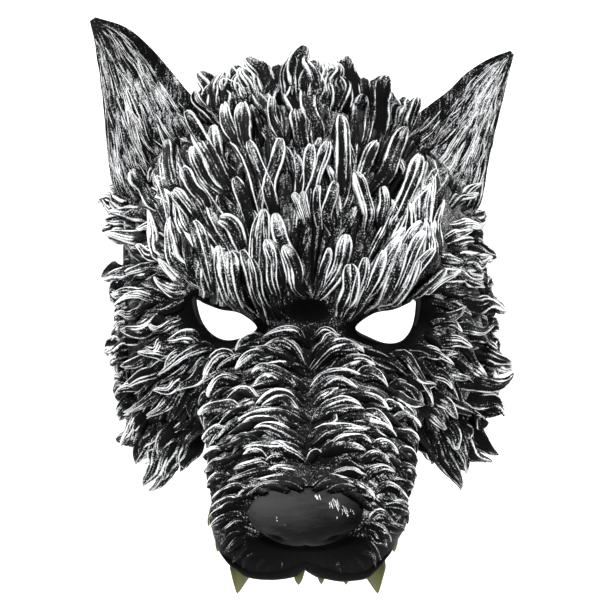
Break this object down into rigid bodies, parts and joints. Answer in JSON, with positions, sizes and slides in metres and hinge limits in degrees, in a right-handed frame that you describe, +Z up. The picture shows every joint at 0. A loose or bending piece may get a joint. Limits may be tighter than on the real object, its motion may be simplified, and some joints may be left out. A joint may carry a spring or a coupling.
{
  "type": "wolf mask",
  "caption": "Moulded half mask of a snarling wolf with pricked ears, shaggy sculpted fur, a smooth nose, bared upper teeth and a flat elastic head strap.",
  "frame": {"origin": "seat of the mask on the wearer: the point of the shell's inner face, between the eye openings, that rests on the bridge of the nose", "axes": "+Z up the face to the crown, the muzzle points along -Y, +X is to the viewer's right; the head enters along -Y from behind"},
  "size_m": [0.219, 0.2847, 0.278],
  "materials": {
    "shell": "black satin foam moulding, raised fur dry-brushed in silver white, nose smooth satin black",
    "tooth": "painted dull olive yellow, satin",
    "strap": "grey knitted elastic, matte"
  },
  "bodies": {
    "root": {"mask_shell": "shell", "fang_left": "tooth", "fang_right": "tooth", "incisor_left_2": "tooth", "incisor_left_1": "tooth", "incisor_right_1": "tooth", "incisor_right_2": "tooth", "premolar_left_1": "tooth", "premolar_left_2": "tooth", "premolar_left_3": "tooth", "premolar_right_1": "tooth", "premolar_right_2": "tooth", "premolar_right_3": "tooth", "strap": "strap"}
  },
  "joints": []
}
